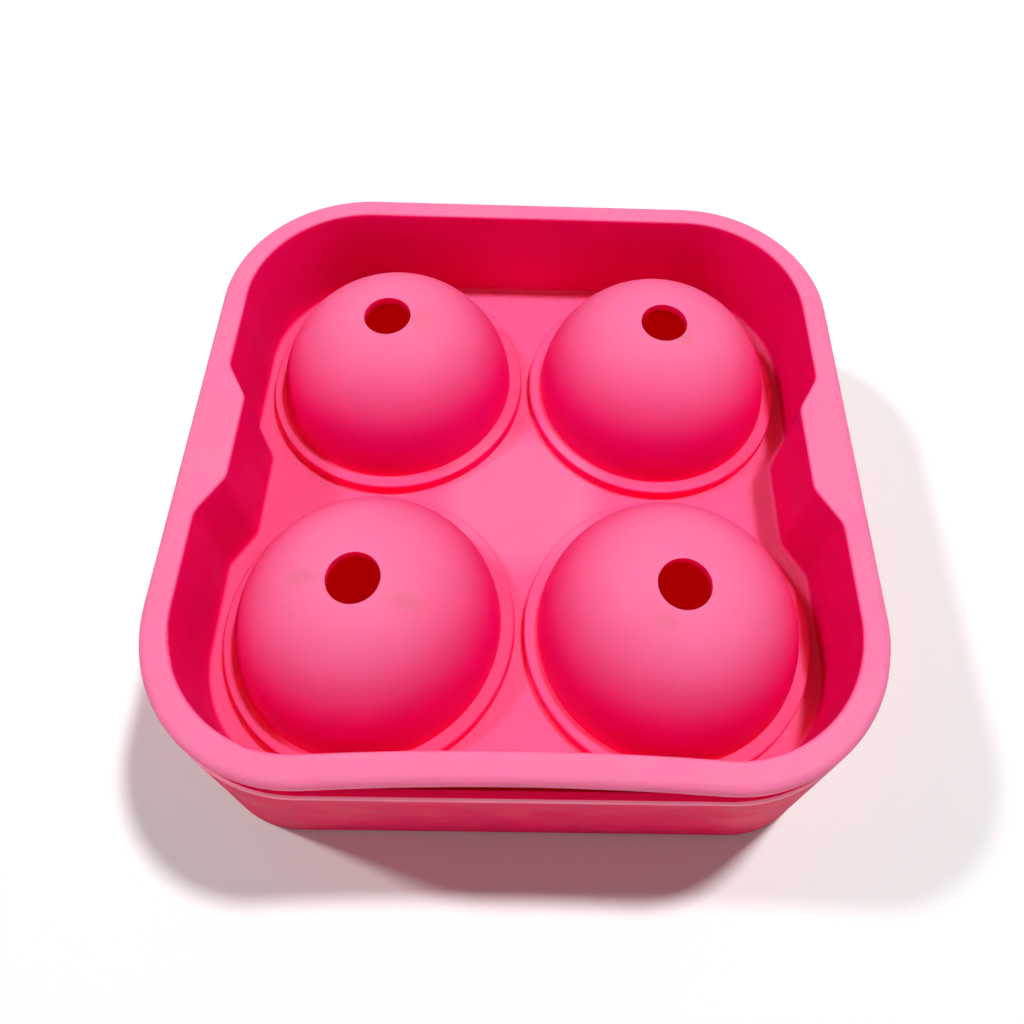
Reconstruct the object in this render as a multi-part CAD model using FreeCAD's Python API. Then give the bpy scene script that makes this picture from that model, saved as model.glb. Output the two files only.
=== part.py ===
"""Silicone mould for four ice balls, in two soft halves.

The lower half is a square tub on a skirt, with four half-ball cups hung from its web.
The upper half is a square tray that drops into the tub. Four half-ball domes stand on its
deck, each with a fill hole in its crown and a raised ring at its foot. A groove under each
ring fits over the lip of the cup below it, and that joint closes the ball.

Units are millimetres. The origin is on the surface that the mould stands on, under the
middle of the rim, with +Z up and the drawn-in side of the tray towards -Y.
"""

import FreeCAD, Part
import math
import os

from FreeCAD import Vector

# Balls
ball_diameter = 45.0
balls_per_side = 2
balls_forward = 0.5
ball_wall = 1.8
fill_hole_diameter = 9.2

# Height of the cups above the surface, so that the skirt alone carries the mould
cup_lift = 0.5

# Fits between the two halves
lip_side_clearance = 0.2
lip_top_clearance = 0.2
wall_clearance = 1.0
deck_clearance = 0.4

# Rings and deck of the upper half
ring_wall = 2.2
ring_roof = 1.6
ring_height = 2.6
ring_foot_flare = 0.2
ring_edge_radius = 0.5
ring_spacing = 1.8
ring_to_wall = 2.3
deck_thickness = 2.0
deck_corner_radius = 1.0

# Rim and wall of the tray
rim_corner_radius = 27.8
rim_width = 4.8
rim_thickness = 4.0
rim_top_outer_radius = 1.4
rim_top_inner_radius = 0.6
rim_under_radius = 1.6
rim_height_above_rings = 21.0
tray_wall = 1.7

# The soft tray is drawn in by this much at its front and back, and once more at the middle
# of its front
end_draw = 0.9
front_draw = 1.0

# Finger grips: the left and right walls step inwards beside the middle of the balls
grip_depth = 4.2
grip_flat_length = 17.2
grip_mouth_length = 31.2
grip_corner_radius = 3.6
least_corner_radius = 0.5

# Tub, web and skirt of the lower half
base_wall = 1.6
lip_below_rim = 2.5
web_thickness = 2.0
skirt_root_radius = 1.5
base_edge_radius = 0.45
foot_edge_radius = 0.6
foot_corner_radius = 18.8

# The walls lean out from the foot by this much for each millimetre of height
tray_draft_slope = 0.003
tub_draft_slope = 0.035

# Lengths below this count as nothing when outlines are joined and edges are looked up
tolerance = 1e-4

# Heights that follow from the sizes above
ball_radius = ball_diameter / 2
shell_radius = ball_radius + ball_wall
parting_height = cup_lift + shell_radius
groove_roof = parting_height + lip_top_clearance
ring_top = groove_roof + ring_roof
deck_top = ring_top - ring_height
deck_underside = deck_top - deck_thickness
rim_top = ring_top + rim_height_above_rings
rim_underside = rim_top - rim_thickness
base_lip_height = rim_underside - lip_below_rim
web_top = deck_underside - deck_clearance
web_underside = web_top - web_thickness

# Plan sizes that follow from the sizes above
groove_radius = shell_radius + lip_side_clearance
ring_radius = groove_radius + ring_wall
ball_pitch = 2 * ring_radius + ring_spacing
outer_ball_middle = ball_pitch * (balls_per_side - 1) / 2
wall_half_length = outer_ball_middle + ring_radius + ring_to_wall
wall_corner_radius = rim_corner_radius - rim_width
dome_crown = parting_height + shell_radius

# Offsets of the wall faces from the inner face of the tray wall, at the rim, and the round
# at the foot of the tray's outer face, which the round in the tub under it follows
tub_face_offset = tray_wall + wall_clearance
skirt_face_offset = tub_face_offset + base_wall
tray_foot_radius = deck_corner_radius + tray_wall

# The upright corners of the tub grow by this much for each millimetre of height
lip_corner_radius = wall_corner_radius + skirt_face_offset
drafted_corner_radius = lip_corner_radius - tub_draft_slope * base_lip_height
tub_corner_growth = (drafted_corner_radius - foot_corner_radius) / base_lip_height


def turn_at(points, index):
    """Returns the angle by which a closed outline turns at one corner, left turns positive."""
    before = points[index] - points[index - 1]
    after = points[(index + 1) % len(points)] - points[index]
    cross = before.x * after.y - before.y * after.x
    return math.atan2(cross, before.dot(after))


def grow_outline(points, radii, distance):
    """Moves each side of an anticlockwise outline outwards and keeps its arcs concentric."""
    grown_points = []
    grown_radii = []
    for index, point in enumerate(points):
        along = (point - points[index - 1]).normalize()
        outward = Vector(along.y, -along.x, 0)
        turn = turn_at(points, index)
        slide = distance * math.tan(turn / 2)
        grown_points.append(point + outward * distance + along * slide)
        grown_radius = radii[index] + distance * math.copysign(1, turn)
        grown_radii.append(max(grown_radius, least_corner_radius))
    return grown_points, grown_radii


def rounded_wire(points, radii, height):
    """Joins the corners of an outline with straight runs and tangent arcs at one height."""
    starts = []
    ends = []
    middles = []
    for index, corner in enumerate(points):
        half_turn = turn_at(points, index) / 2
        back = (points[index - 1] - corner).normalize()
        ahead = (points[(index + 1) % len(points)] - corner).normalize()
        tangent_length = radii[index] * abs(math.tan(half_turn))
        bisector = (back + ahead).normalize()
        rise = radii[index] * (1 / math.cos(half_turn) - 1)
        starts.append(corner + back * tangent_length)
        ends.append(corner + ahead * tangent_length)
        middles.append(corner + bisector * rise)
    lift = Vector(0, 0, height)
    edges = []
    for index in range(len(points)):
        arc = Part.Arc(starts[index] + lift, middles[index] + lift, ends[index] + lift)
        edges.append(arc.toShape())
        following = (index + 1) % len(points)
        if ends[index].distanceToPoint(starts[following]) > tolerance:
            run = Part.LineSegment(ends[index] + lift, starts[following] + lift)
            edges.append(run.toShape())
    return Part.Wire(edges)


def grip_corners():
    """Returns the grip corners of the right wall, from front to back, with their radii."""
    half_flat = grip_flat_length / 2
    half_mouth = grip_mouth_length / 2
    step = wall_half_length - grip_depth
    points = [
        Vector(wall_half_length, -balls_forward - half_mouth, 0),
        Vector(step, -balls_forward - half_flat, 0),
        Vector(step, -balls_forward + half_flat, 0),
        Vector(wall_half_length, -balls_forward + half_mouth, 0),
    ]
    return points, [grip_corner_radius] * len(points)


def drawn_front():
    """Works out a front side that is one long arc, tangent to the arcs of its two corners.

    Returns:
        how far back each front corner lies, how far back the middle corner lies, and the
        radius of the long arc, where both distances are measured from the square's front.
    """
    arc_middle = wall_half_length - wall_corner_radius
    slope = 2 * math.atan2(front_draw, arc_middle)
    both_radii = (arc_middle**2 + front_draw**2) / (2 * front_draw)
    touch_x = arc_middle - wall_corner_radius * math.sin(slope)
    touch_back = wall_corner_radius * (1 - math.cos(slope))
    corner_back = touch_back - (wall_half_length - touch_x) * math.tan(slope)
    middle_back = touch_back + touch_x * math.tan(slope)
    return corner_back, middle_back, both_radii - wall_corner_radius


def wall_outline(end_length, corner_radius, drawn_front_side, gripped):
    """Returns the corners and radii of the inner face of the tray wall at the rim.

    Args:
        end_length: how far the front and back sides lie from the middle.
        corner_radius: radius of the four upright corners.
        drawn_front_side: True adds a corner at the middle of the front, with a long arc.
        gripped: True steps the left and right sides inwards at their middle.

    Returns:
        the corners, anticlockwise from the front right, and their radii.
    """
    side = wall_half_length
    front = -end_length
    if drawn_front_side:
        corner_back, middle_back, long_radius = drawn_front()
        front += corner_back
    points = [Vector(side, front, 0)]
    radii = [corner_radius]
    if gripped:
        grip_points, grip_radii = grip_corners()
        points += grip_points
        radii += grip_radii
    points += [Vector(side, end_length, 0), Vector(-side, end_length, 0)]
    radii += [corner_radius, corner_radius]
    if gripped:
        points += [Vector(-point.x, point.y, 0) for point in reversed(grip_points)]
        radii += grip_radii
    points.append(Vector(-side, front, 0))
    radii.append(corner_radius)
    if drawn_front_side:
        points.append(Vector(0, -end_length + middle_back, 0))
        radii.append(long_radius)
    return points, radii


def tray_outline(height, gripped=True):
    """Returns the outline of the tray wall, which is the same at every height."""
    return wall_outline(wall_half_length - end_draw, wall_corner_radius, True, gripped)


def tub_outline(height):
    """Returns the outline of the square tub, with tighter corners towards the foot."""
    tightening = tub_corner_growth * (base_lip_height - height)
    return wall_outline(wall_half_length, wall_corner_radius - tightening, False, True)


def upright_body(outline_at, distance, low, high, reference, slope):
    """Makes a closed body whose sides lean out by a draft.

    Args:
        outline_at: function that gives the wall's outline at a height.
        distance: how far outside that outline the sides lie at the reference height.
        low: height of the bottom face.
        high: height of the top face.
        reference: height at which the distance is measured.
        slope: how much the sides lean out for each millimetre of height.

    Returns:
        the body as one solid.
    """
    wires = []
    for height in (low, high):
        points, radii = outline_at(height)
        lean = slope * (height - reference)
        grown_points, grown_radii = grow_outline(points, radii, distance + lean)
        wires.append(rounded_wire(grown_points, grown_radii, height))
    return Part.makeLoft(wires, True, True)


def flat_edges(body, height):
    """Returns the edges of a body that lie flat at one height."""
    found = []
    for edge in body.Edges:
        box = edge.BoundBox
        if abs(box.ZMin - height) < tolerance and abs(box.ZMax - height) < tolerance:
            found.append(edge)
    return found


def ball_centres():
    """Lists the middle of each ball."""
    places = [ball_pitch * index - outer_ball_middle for index in range(balls_per_side)]
    return [Vector(x, y - balls_forward, parting_height) for y in places for x in places]


def half_ball(radius, centre, upward):
    """Makes the upper or lower half of a ball."""
    angles = (0, 90) if upward else (-90, 0)
    return Part.makeSphere(radius, centre, Vector(0, 0, 1), angles[0], angles[1], 360)


def rim_bead():
    """Makes the thick rounded rim, still filled across the middle."""
    points, radii = grow_outline(*tray_outline(rim_top, gripped=False), rim_width)
    face = Part.Face(rounded_wire(points, radii, rim_underside))
    bead = face.extrude(Vector(0, 0, rim_thickness))
    bead = bead.makeFillet(rim_top_outer_radius, flat_edges(bead, rim_top))
    return bead.makeFillet(rim_under_radius, flat_edges(bead, rim_underside))


def tray_shell():
    """Makes the rim, wall and deck of the upper half, without rings and domes."""
    in_rim = rim_top - rim_thickness / 2
    slope = tray_draft_slope
    skin = upright_body(tray_outline, tray_wall, deck_underside, in_rim, rim_top, slope)
    skin = skin.makeFillet(tray_foot_radius, flat_edges(skin, deck_underside))
    pocket = upright_body(tray_outline, 0, deck_top, rim_top, rim_top, slope)
    pocket = pocket.makeFillet(deck_corner_radius, flat_edges(pocket, deck_top))
    shell = rim_bead().fuse(skin).cut(pocket).removeSplitter()
    inner_edges = []
    for edge in flat_edges(shell, rim_top):
        middle = edge.valueAt((edge.FirstParameter + edge.LastParameter) / 2)
        if inside_rim(middle, rim_width / 2):
            inner_edges.append(edge)
    return shell.makeFillet(rim_top_inner_radius, inner_edges)


def inside_rim(point, inset):
    """Tells whether a point on the rim's top lies further in than an inset outline."""
    points, radii = grow_outline(*tray_outline(rim_top, gripped=False), rim_width - inset)
    face = Part.Face(rounded_wire(points, radii, rim_top))
    return face.isInside(point, tolerance, True)


def ring_blank(centre):
    """Makes the raised ring at the foot of one dome as a solid plug.

    The plug starts inside the deck, so that it never shows under the deck's round corner.
    """
    foot_height = deck_top - deck_thickness / 2
    foot = Vector(centre.x, centre.y, foot_height)
    foot_radius = ring_radius + ring_foot_flare
    plug = Part.makeCone(foot_radius, ring_radius, ring_top - foot_height, foot)
    return plug.makeFillet(ring_edge_radius, flat_edges(plug, ring_top))


def upper_half():
    """Makes the tray with its domes, grooves and fill holes."""
    shell = tray_shell()
    for centre in ball_centres():
        shell = shell.fuse(ring_blank(centre)).fuse(half_ball(shell_radius, centre, True))
    for centre in ball_centres():
        foot = Vector(centre.x, centre.y, 0)
        groove = Part.makeCylinder(groove_radius, groove_roof, foot)
        fill_hole = Part.makeCylinder(fill_hole_diameter / 2, dome_crown, foot)
        shell = shell.cut(groove.fuse(half_ball(ball_radius, centre, True)).fuse(fill_hole))
    return shell.removeSplitter()


def tub_shell():
    """Makes the tub, web and skirt of the lower half, without the cups."""
    lip = base_lip_height
    slope = tub_draft_slope
    outside = upright_body(tub_outline, skirt_face_offset, 0, lip, lip, slope)
    outside = outside.makeFillet(base_edge_radius, flat_edges(outside, lip))
    outside = outside.makeFillet(foot_edge_radius, flat_edges(outside, 0))
    tub = upright_body(tub_outline, tub_face_offset, web_top, lip, lip, slope)
    tub = tub.makeFillet(tray_foot_radius, flat_edges(tub, web_top))
    hollow = upright_body(tub_outline, tub_face_offset, 0, web_underside, lip, slope)
    hollow = hollow.makeFillet(skirt_root_radius, flat_edges(hollow, web_underside))
    return outside.cut(tub).cut(hollow)


def lower_half():
    """Makes the tub with its four cups."""
    shell = tub_shell()
    for centre in ball_centres():
        foot = Vector(centre.x, centre.y, web_underside)
        lip = Part.makeCylinder(shell_radius, parting_height - web_underside, foot)
        shell = shell.fuse(lip).fuse(half_ball(shell_radius, centre, False))
    for centre in ball_centres():
        shell = shell.cut(Part.makeSphere(ball_radius, centre))
    return shell.removeSplitter()


def main():
    """Builds both halves and writes one STEP file for each."""
    os.makedirs("parts", exist_ok=True)
    for name, build in (("upper_half", upper_half), ("lower_half", lower_half)):
        shape = build()
        shape.exportStep("parts/" + name + ".step")
        print(name, "valid", shape.isValid(), "volume", round(shape.Volume))


main()
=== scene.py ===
"""Looks of a soft silicone mould for four ice balls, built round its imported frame.

Lengths are metres in the frame of the solids: the origin is on the floor under the middle of
the rim, +Z is up, and the drawn-in wall of the tray faces -Y.
"""

import logging
import math
from dataclasses import dataclass, field
from enum import Enum

import bpy
from mathutils import Matrix, Vector

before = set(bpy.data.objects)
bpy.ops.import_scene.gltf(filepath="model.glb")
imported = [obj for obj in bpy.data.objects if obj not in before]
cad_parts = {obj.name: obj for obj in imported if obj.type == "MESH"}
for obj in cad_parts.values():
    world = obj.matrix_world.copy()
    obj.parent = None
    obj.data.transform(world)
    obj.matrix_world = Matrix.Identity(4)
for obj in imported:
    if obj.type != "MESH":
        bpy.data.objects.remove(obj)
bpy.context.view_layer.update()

log = logging.getLogger("ice_ball_mould")

MILLIMETRE = 0.001
PHOTO_PIXELS = 1024
SENSOR_MM = 36.0

# The dust and painted sheen lie thickest on faces that look up and a little back, towards the
# lamps
SHEEN_DIRECTION = (0.0, 0.15, 0.989)

# How far out from the middle the walls begin, beyond the upper part of the balls, in metres
BEYOND_BALLS = 0.048

# Heights in metres: the deck, the rings on it, the lower half's lip and the rim over the lip
DECK_TOP = 0.0240
RING_TOP = 0.0266
LIP_TOP = 0.0411
RIM_UNDERSIDE = 0.0436

# Steps in height, in metres, over which the dust and painted sheen change: up the rim's
# outside, from the deck to the rings' tops, and from the rings' tops to the domes
RIM_STEP = (RIM_UNDERSIDE + 0.0002, RIM_UNDERSIDE + 0.0014)
RING_STEP = (DECK_TOP + 0.0010, DECK_TOP + 0.0014)
DOME_STEP = (RING_TOP, RING_TOP + 0.0019)

# How far the painted highlight and the painted glow reach down from the lip's top, in metres
LIP_HIGHLIGHT_DEPTH = 0.0012
LIP_GLOW_DEPTH = 0.0008

# Distance over which the painted shade on the deck, less of the painted sheen away from its
# middle, sets in, in metres
DECK_SHADE_EDGE = 0.008

# How much of the dust and painted sheen comes and goes in patches, and how much is always there
PATCH_SHARE = 0.3
PATCH_BASE = 0.85

# Middle of the four balls in plan, and how far each ball's middle lies from it, in metres
BALLS_MIDDLE = (0.0, -0.0005, 0.0)
BALL_OFFSET = (0.0276, 0.0276, 0.0248)

# What counts as looking away from the middle: the normal times the place, from none to all
FACING_OUT = (-0.03, -0.01)

# Upward parts of the normal: from level to no longer level, and from looking down to up
OFF_LEVEL = (0.995, 0.97)
LOOKS_UP = (-0.1, 0.2)

# How strongly the skin's slow waves stand against its grain
WAVE_SHARE = 6.0

# Size of the ragged edge's features, in metres, and where a smudge begins and is full, in
# shares of its half size
RAGGED_SIZE = 0.004
SMUDGE_EDGE = (1.0, 0.2)

# Where a speck begins and is full, as shares of the specks' spacing
SPECK_EDGE = (0.02, 0.008)

# Sockets of a node that mixes colours: its mask, both colours and the result
MIX_INPUTS = (0, 6, 7)
MIX_RESULT = 2

Colour = tuple[float, float, float]
Place = tuple[float, float, float]
Socket = bpy.types.NodeSocket


class Half(Enum):
    """The two mouldings, by the names of their nodes."""

    UPPER = "upper_half"
    LOWER = "lower_half"


class LampRole(Enum):
    """What a lamp does in the studio."""

    KEY = "key"
    FILL = "fill"
    FRONT = "front"


class NodeBench:
    """Places and links the nodes of one tree."""

    def __init__(self, tree: bpy.types.NodeTree) -> None:
        """Clears a tree and takes it on.

        Args:
            tree: the node tree of a material, a world or a group.
        """
        self.tree = tree
        tree.nodes.clear()

    def add(self, kind: str, **settings: object) -> bpy.types.Node:
        """Adds one node.

        Args:
            kind: the node's type name in Blender.
            settings: attributes to set on the node.

        Returns:
            The new node.
        """
        node = self.tree.nodes.new(kind)
        for name, value in settings.items():
            setattr(node, name, value)
        return node

    def feed(self, socket: Socket, value: object) -> None:
        """Links an output to a socket, or writes a plain value on it.

        Args:
            socket: the input to fill.
            value: an output socket, a number or a colour.
        """
        if isinstance(value, bpy.types.NodeSocket):
            self.tree.links.new(value, socket)
        elif isinstance(value, tuple) and len(value) == 3 and socket.type == "RGBA":
            socket.default_value = (*value, 1.0)
        else:
            socket.default_value = value

    def maths(self, operation: str, first: object, second: object = 0.0) -> Socket:
        """Adds a Math node.

        Args:
            operation: the operation's name in Blender.
            first: the first number or output.
            second: the second number or output.

        Returns:
            The result's socket.
        """
        node = self.add("ShaderNodeMath", operation=operation)
        self.feed(node.inputs[0], first)
        self.feed(node.inputs[1], second)
        return node.outputs[0]

    def vector_maths(self, operation: str, first: object, second: object = None) -> Socket:
        """Adds a Vector Math node whose result is a vector.

        Args:
            operation: the operation's name in Blender.
            first: the first vector or output.
            second: the second vector or output, where the operation has one.

        Returns:
            The result's socket.
        """
        node = self.add("ShaderNodeVectorMath", operation=operation)
        self.feed(node.inputs[0], first)
        if second is not None:
            self.feed(node.inputs[1], second)
        return node.outputs["Vector"]

    def product(self, first: Socket, *others: object) -> Socket:
        """Multiplies a value by one or more others, in turn.

        Args:
            first: the first value.
            others: the outputs or numbers to multiply it by.

        Returns:
            The product's socket.
        """
        for other in others:
            first = self.maths("MULTIPLY", first, other)
        return first

    def multiply_add(self, value: Socket, factor: object, addend: object) -> Socket:
        """Multiplies a value and adds to the product.

        Args:
            value: the value to multiply.
            factor: the number or output to multiply it by.
            addend: the number or output to add.

        Returns:
            The sum's socket.
        """
        node = self.add("ShaderNodeMath", operation="MULTIPLY_ADD")
        for socket, number in zip(node.inputs, (value, factor, addend)):
            self.feed(socket, number)
        return node.outputs[0]

    def square(self, value: Socket) -> Socket:
        """Multiplies a value by itself."""
        return self.maths("MULTIPLY", value, value)

    def length(self, vector: Socket) -> Socket:
        """Measures a vector.

        Args:
            vector: the vector to measure.

        Returns:
            The length's socket.
        """
        node = self.add("ShaderNodeVectorMath", operation="LENGTH")
        self.feed(node.inputs[0], vector)
        return node.outputs["Value"]

    def parts(self, vector: Socket) -> tuple[Socket, Socket, Socket]:
        """Splits a vector.

        Args:
            vector: the vector to split.

        Returns:
            The sockets of its x, y and z.
        """
        node = self.add("ShaderNodeSeparateXYZ")
        self.feed(node.inputs[0], vector)
        return tuple(node.outputs)

    def mix_numbers(self, mask: Socket, first: object, second: object) -> Socket:
        """Mixes two numbers by a mask.

        Args:
            mask: 0 gives the first number and 1 the second.
            first: the first number or output.
            second: the second number or output.

        Returns:
            The mixed number's socket.
        """
        node = self.add("ShaderNodeMix", data_type="FLOAT")
        for title, value in zip(("Factor", "A", "B"), (mask, first, second)):
            self.feed(node.inputs[title], value)
        return node.outputs["Result"]

    def band(self, value: Socket, low: float, high: float, edge: float = 0.0003) -> Socket:
        """Turns a value into a mask that is 1 between two levels, with soft edges outside them.

        Args:
            value: the value to read.
            low: the lower level.
            high: the upper level.
            edge: how far outside each level the mask reaches 0.

        Returns:
            The mask's socket.
        """
        above, below = self.ramp(value, low - edge, low), self.ramp(value, high + edge, high)
        return self.maths("MULTIPLY", above, below)

    def ramp(self, value: Socket, low: object, high: object) -> Socket:
        """Turns a value into a smooth mask from 0 at one level to 1 at another.

        Args:
            value: the value to read.
            low: the level that gives 0.
            high: the level that gives 1.

        Returns:
            The mask's socket.
        """
        node = self.add("ShaderNodeMapRange", interpolation_type="SMOOTHSTEP")
        self.feed(node.inputs["Value"], value)
        self.feed(node.inputs["From Min"], low)
        self.feed(node.inputs["From Max"], high)
        return node.outputs["Result"]

    def noise(self, place: Socket, size: object, detail: float = 3.0) -> Socket:
        """Adds a noise whose features have a stated size.

        Args:
            place: the coordinate, in metres.
            size: the size of a feature, in metres.
            detail: how many finer layers lie over it.

        Returns:
            The noise value's socket.
        """
        node = self.add("ShaderNodeTexNoise")
        self.feed(node.inputs["Vector"], place)
        self.feed(node.inputs["Scale"], self.maths("DIVIDE", 1.0, size))
        node.inputs["Detail"].default_value = detail
        return node.outputs["Fac"]

    def blend(self, mask: object, first: object, second: object, mode: str = "MIX") -> Socket:
        """Blends two colours by a mask.

        Args:
            mask: 0 keeps the first colour and 1 gives the second.
            first: the colour under it.
            second: the colour over it.
            mode: Blender's name for the way of blending.

        Returns:
            The blended colour's socket.
        """
        node = self.add("ShaderNodeMix", data_type="RGBA", blend_type=mode)
        for index, value in zip(MIX_INPUTS, (mask, first, second)):
            self.feed(node.inputs[index], value)
        return node.outputs[MIX_RESULT]

    def place_group(self, group: bpy.types.NodeTree, **values: object) -> bpy.types.Node:
        """Places a node group with its own values.

        Args:
            group: the group to place.
            values: one value for each input, with spaces in its name written as _.

        Returns:
            The group's node.
        """
        node = self.add("ShaderNodeGroup", node_tree=group)
        for name, value in values.items():
            self.feed(node.inputs[name.replace("_", " ")], value)
        return node


class EffectGroup:
    """A shader node group with named sockets."""

    def __init__(self, name: str, inputs: dict[str, float], outputs: tuple[str, ...]) -> None:
        """Makes an empty group.

        Args:
            name: the group's name.
            inputs: each number that goes in, with its usual value.
            outputs: each value that comes out.
        """
        self.tree = bpy.data.node_groups.new(name, "ShaderNodeTree")
        for title, value in inputs.items():
            socket = self.tree.interface.new_socket(
                title, in_out="INPUT", socket_type="NodeSocketFloat"
            )
            socket.default_value = value
        for title in outputs:
            self.tree.interface.new_socket(
                title, in_out="OUTPUT", socket_type="NodeSocketFloat"
            )
        self.bench = NodeBench(self.tree)
        self.entry = self.bench.add("NodeGroupInput").outputs
        self.result = self.bench.add("NodeGroupOutput").inputs
        self.place = self.bench.add("ShaderNodeTexCoord").outputs["Object"]


@dataclass
class Whereabouts:
    """Shared readings of a place on the mould, for the groups that need them."""

    bench: NodeBench
    place: Socket
    normal: Socket = field(init=False)
    tilt: Socket = field(init=False)
    height: Socket = field(init=False)

    def __post_init__(self) -> None:
        """Reads the normal, its upward part and the height."""
        self.normal = self.bench.add("ShaderNodeTexCoord").outputs["Normal"]
        self.tilt = self.bench.parts(self.normal)[2]
        self.height = self.bench.parts(self.place)[2]

    def dot(self, first: Socket, second: object) -> Socket:
        """Multiplies two vectors into a number.

        Args:
            first: the first vector.
            second: the second vector or output.

        Returns:
            The number's socket.
        """
        node = self.bench.add("ShaderNodeVectorMath", operation="DOT_PRODUCT")
        self.bench.feed(node.inputs[0], first)
        self.bench.feed(node.inputs[1], second)
        return node.outputs["Value"]

    def beyond_balls(self) -> Socket:
        """Masks the walls, the rim and the lip, which lie beyond the balls' upper part.

        Returns:
            The mask's socket.
        """
        x, y, _ = self.bench.parts(self.bench.vector_maths("ABSOLUTE", self.place))
        reach = self.bench.maths("MAXIMUM", x, y)
        return self.bench.ramp(reach, BEYOND_BALLS, BEYOND_BALLS + MILLIMETRE)

    def radius(self) -> Socket:
        """Measures how far the place lies from the upright axis of the mould.

        Returns:
            The distance's socket.
        """
        x, y, _ = self.bench.parts(self.place)
        total = self.bench.maths("ADD", self.bench.square(x), self.bench.square(y))
        return self.bench.maths("POWER", total, 0.5)

    def outward(self) -> Socket:
        """Masks the faces that look away from the mould's middle."""
        level = self.bench.vector_maths("MULTIPLY", self.place, (1.0, 1.0, 0.0))
        return self.bench.ramp(self.dot(self.normal, level), *FACING_OUT)

    def rounded(self) -> Socket:
        """Masks the faces that aren't level."""
        return self.bench.ramp(self.tilt, *OFF_LEVEL)


def dust_and_painted_sheen() -> bpy.types.NodeTree:
    """Builds the mask of pale dust with painted sheen on faces that look up.

    The rim's outside gets a painted reflection. Less of the painted sheen lies on the deck and
    the rings on it, a painted shade, but for the deck's middle, and the lower half's lip edge
    gets a painted highlight.

    Returns:
        A group with the inputs Tilt Low, Tilt High, Patch Size, Rim Share, Lip Share,
        Deck Share, Ring Share and Clean From, and the output Mask.
    """
    group = EffectGroup(
        "dust_and_painted_sheen",
        {
            "Tilt Low": 0.28,
            "Tilt High": 1.0,
            "Patch Size": 0.02,
            "Rim Share": 1.1,
            "Lip Share": 1.3,
            "Deck Share": 0.58,
            "Ring Share": 0.5,
            "Shade From": 0.011,
        },
        ("Mask",),
    )
    bench, entry = group.bench, group.entry
    where = Whereabouts(bench, group.place)
    # Painted sheen with pale dust: a lighter colour on faces that look up and back towards the
    # lamps
    facing = where.dot(where.normal, SHEEN_DIRECTION)
    upward = bench.ramp(facing, entry["Tilt Low"], entry["Tilt High"])
    # Painted reflection of the pale room on the rim's outside, where it faces away from the
    # middle
    beyond_balls = where.beyond_balls()
    outside = bench.maths("MULTIPLY", beyond_balls, where.outward())
    on_rim = bench.ramp(where.height, *RIM_STEP)
    rim_sheen = bench.product(outside, on_rim, entry["Rim Share"])
    # Painted highlight down the outside of the lip's top edge, on the lower half only
    lip_highlight = bench.band(where.height, LIP_TOP - LIP_HIGHLIGHT_DEPTH, LIP_TOP)
    lip_highlight = bench.product(outside, lip_highlight, where.rounded(), entry["Lip Share"])
    rim_sheen = bench.maths("MAXIMUM", rim_sheen, lip_highlight)
    lip_top = bench.product(beyond_balls, bench.band(where.height, LIP_TOP, LIP_TOP))
    upward = bench.product(upward, bench.maths("SUBTRACT", 1.0, lip_top))
    # Painted shade: the deck and the rings get less of the painted sheen, but for the deck's
    # middle
    shade_at = bench.maths("ADD", entry["Shade From"], DECK_SHADE_EDGE)
    deck_shade = bench.ramp(where.radius(), entry["Shade From"], shade_at)
    on_ring = bench.ramp(where.height, *RING_STEP)
    share = bench.mix_numbers(on_ring, entry["Deck Share"], entry["Ring Share"])
    share = bench.mix_numbers(deck_shade, 1.0, share)
    share = bench.mix_numbers(bench.ramp(where.height, *DOME_STEP), share, 1.0)
    dust_and_sheen_mask = bench.maths("MAXIMUM", bench.product(upward, share), rim_sheen)
    patches = bench.noise(group.place, entry["Patch Size"], detail=4.0)
    spread = bench.multiply_add(patches, PATCH_SHARE, PATCH_BASE)
    bench.feed(group.result["Mask"], bench.product(dust_and_sheen_mask, spread))
    return group.tree


def painted_glow() -> bpy.types.NodeTree:
    """Builds the masks of the places where glow is painted in as emission.

    In the four ball-shaped hollows the painted glow stands for light soaking through the
    silicone.
    On the level top of the lip, which stands in the shade of the rim, it is a painted red glow,
    and on the lip's round edge a painted highlight.

    Returns:
        A group with the inputs Hollow Radius and Edge, and the outputs Hollow, Lip Top and
        Lip Edge.
    """
    group = EffectGroup(
        "painted_glow",
        {"Hollow Radius": 0.0227, "Edge": 0.0002},
        ("Hollow", "Lip Top", "Lip Edge"),
    )
    bench = group.bench
    centred = bench.vector_maths("SUBTRACT", group.place, BALLS_MIDDLE)
    folded = bench.vector_maths("ABSOLUTE", centred)
    reach = bench.length(bench.vector_maths("SUBTRACT", folded, BALL_OFFSET))
    inner = bench.maths("SUBTRACT", group.entry["Hollow Radius"], group.entry["Edge"])
    bench.feed(group.result["Hollow"], bench.ramp(reach, group.entry["Hollow Radius"], inner))
    where = Whereabouts(bench, group.place)
    rounded = where.rounded()
    # Painted red glow on the lip's level top and painted highlight on its round edge
    near_top = bench.band(where.height, LIP_TOP - LIP_GLOW_DEPTH, LIP_TOP)
    lip = bench.product(near_top, where.beyond_balls())
    level = bench.maths("SUBTRACT", 1.0, rounded)
    bench.feed(group.result["Lip Top"], bench.product(lip, level))
    looks_up = bench.ramp(where.tilt, *LOOKS_UP)
    bench.feed(group.result["Lip Edge"], bench.product(lip, looks_up, where.outward(), rounded))
    return group.tree


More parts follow.
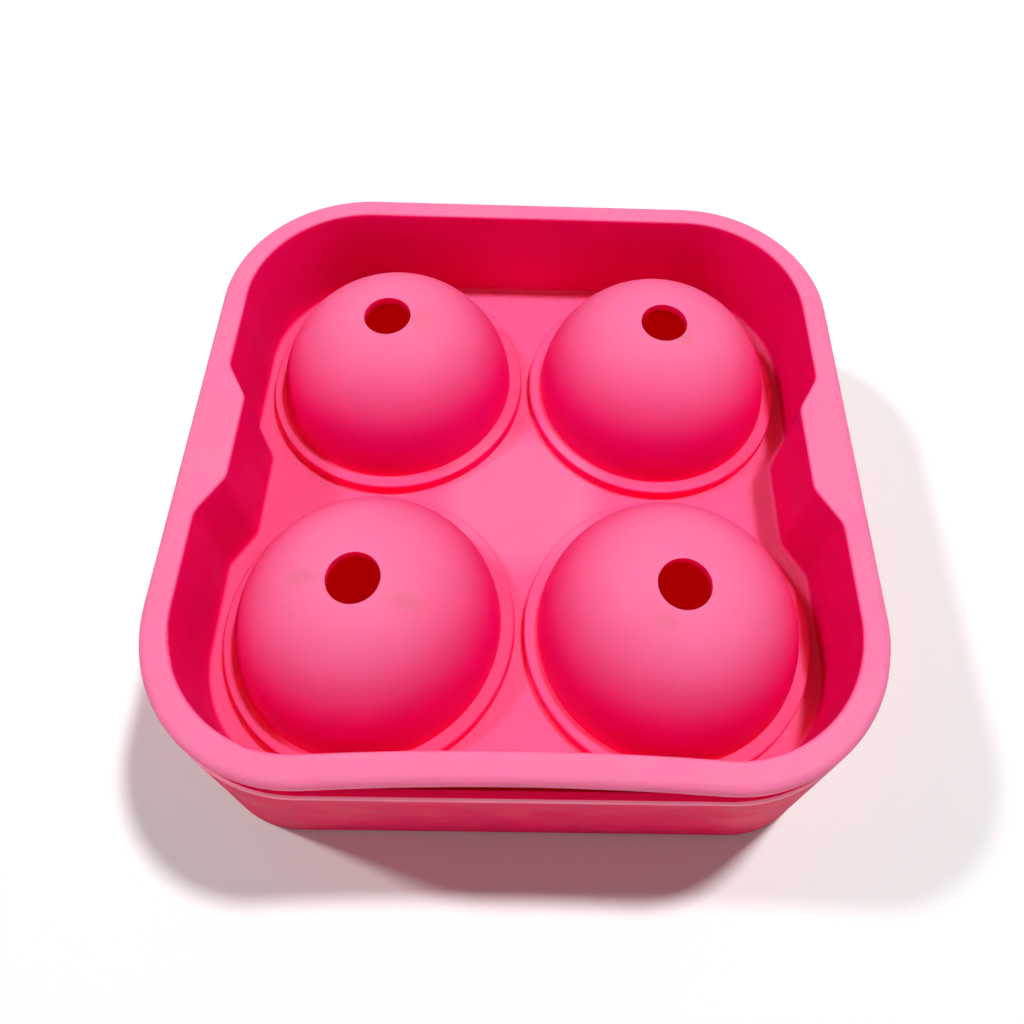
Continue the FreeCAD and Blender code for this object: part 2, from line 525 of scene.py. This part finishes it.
def moulded_skin() -> bpy.types.NodeTree:
    """Builds the satin skin of moulded silicone: a fine grain over slow waves.

    Returns:
        A group with the inputs Grain Size and Wave Size, and the outputs Height and Sheen.
    """
    group = EffectGroup(
        "moulded_skin", {"Grain Size": 0.0004, "Wave Size": 0.009}, ("Height", "Sheen")
    )
    bench = group.bench
    grain = bench.noise(group.place, group.entry["Grain Size"], detail=2.0)
    waves = bench.noise(group.place, group.entry["Wave Size"], detail=1.0)
    sheen = bench.noise(group.place, group.entry["Wave Size"], detail=5.0)
    bench.feed(group.result["Height"], bench.multiply_add(waves, WAVE_SHARE, grain))
    bench.feed(group.result["Sheen"], sheen)
    return group.tree


@dataclass(frozen=True)
class Smudge:
    """One dull mark left by a finger or by water."""

    middle_mm: Place
    half_size_mm: Place


def handling_marks(smudges: tuple[Smudge, ...]) -> bpy.types.NodeTree:
    """Builds the marks of use: dull smudges at stated places and a few dark specks.

    Args:
        smudges: the place and half size of each smudge.

    Returns:
        A group with the inputs Speck Spacing and Ragged Edge, and the outputs Smudge and Speck.
    """
    group = EffectGroup(
        "handling_marks", {"Speck Spacing": 0.011, "Ragged Edge": 0.45}, ("Smudge", "Speck")
    )
    bench = group.bench
    ragged = bench.noise(group.place, RAGGED_SIZE, detail=4.0)
    worn = bench.product(bench.multiply_add(ragged, 2.0, -1.0), group.entry["Ragged Edge"])
    total: Socket | float = 0.0
    for smudge in smudges:
        mapping = bench.add("ShaderNodeMapping", vector_type="TEXTURE")
        bench.feed(mapping.inputs["Vector"], group.place)
        mapping.inputs["Location"].default_value = Vector(smudge.middle_mm) * MILLIMETRE
        mapping.inputs["Scale"].default_value = Vector(smudge.half_size_mm) * MILLIMETRE
        reach = bench.maths("ADD", bench.length(mapping.outputs["Vector"]), worn)
        total = bench.maths("MAXIMUM", total, bench.ramp(reach, *SMUDGE_EDGE))
    bench.feed(group.result["Smudge"], total)
    cells = bench.add("ShaderNodeTexVoronoi")
    bench.feed(cells.inputs["Vector"], group.place)
    bench.feed(cells.inputs["Scale"], bench.maths("DIVIDE", 1.0, group.entry["Speck Spacing"]))
    bench.feed(group.result["Speck"], bench.ramp(cells.outputs["Distance"], *SPECK_EDGE))
    return group.tree


@dataclass(frozen=True)
class SiliconeFinish:
    """Soft pink silicone with a satin skin, pale dust with painted sheen on its upward faces, and
    painted glow in its hollows and on its lip.
    """

    name: str
    pigment: Colour = (0.885, 0.001, 0.165)
    # Pale colour of the dust and painted sheen
    dust_and_sheen_colour: Colour = (0.93, 0.52, 0.74)
    dust_and_sheen_amount: float = 0.33
    smudge_colour: Colour = (0.72, 0.16, 0.24)
    smudge_amount: float = 0.55
    speck_colour: Colour = (0.25, 0.02, 0.05)
    speck_amount: float = 0.7
    roughness_low: float = 0.42
    roughness_high: float = 0.56
    sheen_low: float = 0.35
    sheen_high: float = 0.65
    refraction: float = 1.41
    grain_depth: float = 0.00002
    glow_depth: float = 0.004
    glow_weight: float = 1.0
    glow_colour: Colour = (1.0, 0.06, 0.14)
    gloss: float = 0.08
    # Painted glow in the hollows, standing in for light soaking through the silicone
    painted_hollow_glow: Colour = (0.08, 0.0, 0.0)
    # Share of the painted highlight on the lip's edge
    lip_highlight_share: float = 0.0
    # Painted red glow on the lip's top and painted highlight on its edge, as emission
    painted_lip_glow: Colour = (0.0, 0.0, 0.0)
    painted_lip_highlight: Colour = (0.0, 0.0, 0.0)

    def build(self, groups: dict[str, bpy.types.NodeTree]) -> bpy.types.Material:
        """Makes the material.

        Args:
            groups: the shared effects by name.

        Returns:
            The finished material.
        """
        material = bpy.data.materials.new(self.name)
        material.use_nodes = True
        bench = NodeBench(material.node_tree)
        shader = bench.add("ShaderNodeBsdfPrincipled")
        dust_and_sheen = bench.place_group(groups["dust_and_sheen"], Lip_Share=self.lip_highlight_share)
        skin = bench.place_group(groups["skin"])
        marks = bench.place_group(groups["marks"])
        glow_masks = bench.place_group(groups["glow_masks"])
        # Pale dust with painted sheen, mixed over the pigment
        dust_and_sheen_share = bench.maths("MULTIPLY", dust_and_sheen.outputs["Mask"], self.dust_and_sheen_amount)
        colour = bench.blend(dust_and_sheen_share, self.pigment, self.dust_and_sheen_colour)
        smudged = bench.maths("MULTIPLY", marks.outputs["Smudge"], self.smudge_amount)
        colour = bench.blend(smudged, colour, self.smudge_colour)
        specked = bench.maths("MULTIPLY", marks.outputs["Speck"], self.speck_amount)
        colour = bench.blend(specked, colour, self.speck_colour)
        bench.feed(shader.inputs["Base Color"], colour)
        # Painted glow: emission in the hollows, a painted red glow on the lip's top and a painted
        # highlight on its edge
        glow = bench.blend(glow_masks.outputs["Hollow"], (0.0, 0.0, 0.0), self.painted_hollow_glow)
        glow = bench.blend(glow_masks.outputs["Lip Top"], glow, self.painted_lip_glow)
        glow = bench.blend(glow_masks.outputs["Lip Edge"], glow, self.painted_lip_highlight)
        bench.feed(shader.inputs["Emission Color"], glow)
        shader.inputs["Emission Strength"].default_value = 1.0
        material.cycles.emission_sampling = "NONE"
        rough = bench.add("ShaderNodeMapRange")
        bench.feed(rough.inputs["Value"], skin.outputs["Sheen"])
        rough.inputs["From Min"].default_value = self.sheen_low
        rough.inputs["From Max"].default_value = self.sheen_high
        rough.inputs["To Min"].default_value = self.roughness_low
        rough.inputs["To Max"].default_value = self.roughness_high
        bench.feed(shader.inputs["Roughness"], rough.outputs["Result"])
        bump = bench.add("ShaderNodeBump")
        bump.inputs["Distance"].default_value = self.grain_depth
        bench.feed(bump.inputs["Height"], skin.outputs["Height"])
        bench.feed(shader.inputs["Normal"], bump.outputs["Normal"])
        shader.inputs["IOR"].default_value = self.refraction
        shader.inputs["Specular IOR Level"].default_value = self.gloss
        shader.subsurface_method = "BURLEY"
        shader.inputs["Subsurface Weight"].default_value = self.glow_weight
        shader.inputs["Subsurface Radius"].default_value = self.glow_colour
        shader.inputs["Subsurface Scale"].default_value = self.glow_depth
        output = bench.add("ShaderNodeOutputMaterial")
        bench.feed(output.inputs["Surface"], shader.outputs["BSDF"])
        return material


@dataclass(frozen=True)
class FloorFinish:
    """Smooth white board, seen through a haze that hides its far parts.

    The haze is for the camera alone, and the board has no back face, so it hides nothing
    from below.
    """

    name: str = "white_board"
    colour: Colour = (0.98, 0.98, 0.98)
    near_haze: float = 0.02
    far_haze: float = 1.0
    haze_from: float = 0.22
    haze_to: float = 0.60

    def build(self) -> bpy.types.Material:
        """Makes the material.

        Returns:
            The finished material.
        """
        material = bpy.data.materials.new(self.name)
        material.use_nodes = True
        bench = NodeBench(material.node_tree)
        camera_ray = bench.add("ShaderNodeLightPath").outputs["Is Camera Ray"]
        shader = bench.add("ShaderNodeBsdfDiffuse")
        bench.feed(shader.inputs["Color"], self.colour)
        distance = bench.length(bench.add("ShaderNodeTexCoord").outputs["Object"])
        far = bench.ramp(distance, self.haze_from, self.haze_to)
        amount = bench.mix_numbers(far, self.near_haze, self.far_haze)
        haze = bench.add("ShaderNodeEmission")
        bench.feed(haze.inputs["Strength"], bench.maths("MULTIPLY", camera_ray, amount))
        material.cycles.emission_sampling = "NONE"
        material.use_transparent_shadow = False
        both = bench.add("ShaderNodeAddShader")
        bench.feed(both.inputs[0], shader.outputs["BSDF"])
        bench.feed(both.inputs[1], haze.outputs["Emission"])
        back = bench.add("ShaderNodeNewGeometry").outputs["Backfacing"]
        one_sided = bench.add("ShaderNodeMixShader")
        bench.feed(one_sided.inputs[0], bench.maths("MULTIPLY", back, camera_ray))
        bench.feed(one_sided.inputs[1], both.outputs["Shader"])
        bench.feed(one_sided.inputs[2], bench.add("ShaderNodeBsdfTransparent").outputs["BSDF"])
        output = bench.add("ShaderNodeOutputMaterial")
        bench.feed(output.inputs["Surface"], one_sided.outputs["Shader"])
        return material


@dataclass
class Moulding:
    """One half of the mould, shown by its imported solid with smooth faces."""

    half: Half
    finish: SiliconeFinish
    groups: dict[str, bpy.types.NodeTree]

    def build(self) -> None:
        """Dresses the half in its finish."""
        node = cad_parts[self.half.value]
        node.data.materials.clear()
        node.data.materials.append(self.finish.build(self.groups))
        log.info("%s: %d faces, %s", self.half.value, len(node.data.polygons), self.finish.name)


@dataclass
class Lamp:
    """A small soft lamp above the mould, given by where it hangs."""

    role: LampRole
    place_mm: Place
    watts: float
    radius_mm: float

    def build(self) -> None:
        """Hangs the lamp."""
        data = bpy.data.lights.new(self.role.value + "_lamp", "POINT")
        data.energy = self.watts
        data.shadow_soft_size = self.radius_mm * MILLIMETRE
        lamp = bpy.data.objects.new(data.name, data)
        lamp.location = Vector(self.place_mm) * MILLIMETRE
        bpy.context.scene.collection.objects.link(lamp)
        log.info("%s lamp: %.1f W", self.role.value, self.watts)


@dataclass
class Studio:
    """The white board under the mould, the lamps and the pale room round them."""

    floor_half: float = 1.5
    room_light: float = 0.105
    floor: FloorFinish = field(default_factory=FloorFinish)
    lamps: tuple[Lamp, ...] = (
        Lamp(LampRole.KEY, (229.0, 142.0, 860.0), 22.0, 36.0),
        Lamp(LampRole.FILL, (-577.0, 142.0, 860.0), 14.8, 40.0),
        Lamp(LampRole.FRONT, (60.0, -1160.0, 300.0), 4.8, 200.0),
    )

    def build(self) -> None:
        """Builds the board, the lamps and the room's light."""
        self.build_floor()
        for lamp in self.lamps:
            lamp.build()
        self.build_room()

    def build_floor(self) -> None:
        """Lays the board."""
        reach = self.floor_half
        corners = [(-reach, -reach, 0), (reach, -reach, 0), (reach, reach, 0), (-reach, reach, 0)]
        mesh = bpy.data.meshes.new("white_board")
        mesh.from_pydata(corners, [], [(0, 1, 2, 3)])
        mesh.materials.append(self.floor.build())
        board = bpy.data.objects.new("white_board", mesh)
        bpy.context.scene.collection.objects.link(board)
        log.info("white_board: %.1f m wide", 2 * reach)

    def build_room(self) -> None:
        """Lights the room evenly, and shows it white to the camera and in reflections."""
        world = bpy.data.worlds.new("pale_room")
        world.use_nodes = True
        bench = NodeBench(world.node_tree)
        path = bench.add("ShaderNodeLightPath")
        seen = bench.maths("ADD", path.outputs["Is Camera Ray"], path.outputs["Is Glossy Ray"])
        seen = bench.maths("ADD", seen, path.outputs["Is Transmission Ray"])
        seen = bench.maths("MINIMUM", seen, 1.0)
        background = bench.add("ShaderNodeBackground")
        bench.feed(background.inputs["Color"], (1.0, 1.0, 1.0))
        level = bench.multiply_add(seen, 1.0 - self.room_light, self.room_light)
        bench.feed(background.inputs["Strength"], level)
        output = bench.add("ShaderNodeOutputWorld")
        bench.feed(output.inputs["Surface"], background.outputs["Background"])
        bpy.context.scene.world = world


@dataclass
class PhotoCamera:
    """The camera as it stood for the photograph."""

    focal_pixels: float = 907.68
    middle_pixels: tuple[float, float] = (546.27, 400.0)
    elevation_deg: float = 56.59
    azimuth_deg: float = -2.09
    roll_deg: float = 3.05
    distance_mm: float = 196.9
    target_mm: Place = (4.67, 22.44, 26.6)
    nearest_m: float = 0.01

    def build(self) -> None:
        """Sets the camera up and makes it the scene's camera."""
        elevation = math.radians(self.elevation_deg)
        azimuth = math.radians(self.azimuth_deg)
        roll = math.radians(self.roll_deg)
        level = math.cos(elevation)
        back = Vector(
            (math.sin(azimuth) * level, -math.cos(azimuth) * level, math.sin(elevation))
        )
        right = (-back).cross(Vector((0, 0, 1))).normalized()
        up = right.cross(-back)
        rolled_right = math.cos(roll) * right + math.sin(roll) * up
        rolled_up = math.cos(roll) * up - math.sin(roll) * right
        place = (Vector(self.target_mm) + back * self.distance_mm) * MILLIMETRE
        data = bpy.data.cameras.new("photo_camera")
        data.sensor_width = SENSOR_MM
        data.lens = self.focal_pixels / PHOTO_PIXELS * SENSOR_MM
        data.shift_x = (PHOTO_PIXELS / 2 - self.middle_pixels[0]) / PHOTO_PIXELS
        data.shift_y = (self.middle_pixels[1] - PHOTO_PIXELS / 2) / PHOTO_PIXELS
        data.clip_start = self.nearest_m
        camera = bpy.data.objects.new("photo_camera", data)
        turn = Matrix((rolled_right, rolled_up, back)).transposed().to_4x4()
        camera.matrix_world = Matrix.Translation(place) @ turn
        bpy.context.scene.collection.objects.link(camera)
        bpy.context.scene.camera = camera
        log.info("photo_camera: %.1f mm lens", data.lens)


# Dull marks on the domes, near the fill holes
SMUDGES = (
    Smudge((31.5, 23.5, 48.5), (3.0, 3.5, 3.0)),
    Smudge((-21.0, 26.5, 48.0), (3.0, 4.0, 3.0)),
    Smudge((-36.5, -27.5, 47.5), (5.5, 2.2, 3.0)),
    Smudge((-19.0, -31.5, 47.0), (6.0, 2.4, 3.0)),
    Smudge((24.0, -34.0, 47.5), (3.0, 2.4, 3.0)),
)


def main() -> None:
    """Builds the studio and both halves."""
    logging.basicConfig(level=logging.INFO, format="%(message)s")
    bpy.context.scene.view_settings.view_transform = "Standard"
    groups = {
        # The first group paints sheen, a reflection, shade and a highlight into the colour, with
        # the dust
        "dust_and_sheen": dust_and_painted_sheen(),
        "skin": moulded_skin(),
        "marks": handling_marks(SMUDGES),
        # The last group masks the painted glow and the painted lip highlight
        "glow_masks": painted_glow(),
    }
    Moulding(Half.UPPER, SiliconeFinish("pink_silicone_upper"), groups).build()
    # The lower half gets a painted highlight on its lip's edge and a painted red glow on the
    # lip's top
    lower_finish = SiliconeFinish(
        "pink_silicone_lower",
        pigment=(0.885, 0.001, 0.095),
        smudge_amount=0.0,
        lip_highlight_share=1.3,
        painted_lip_glow=(0.16, 0.001, 0.02),
        painted_lip_highlight=(0.22, 0.08, 0.11),
    )
    Moulding(Half.LOWER, lower_finish, groups).build()
    Studio().build()
    PhotoCamera().build()


if __name__ == "__main__":
    main()
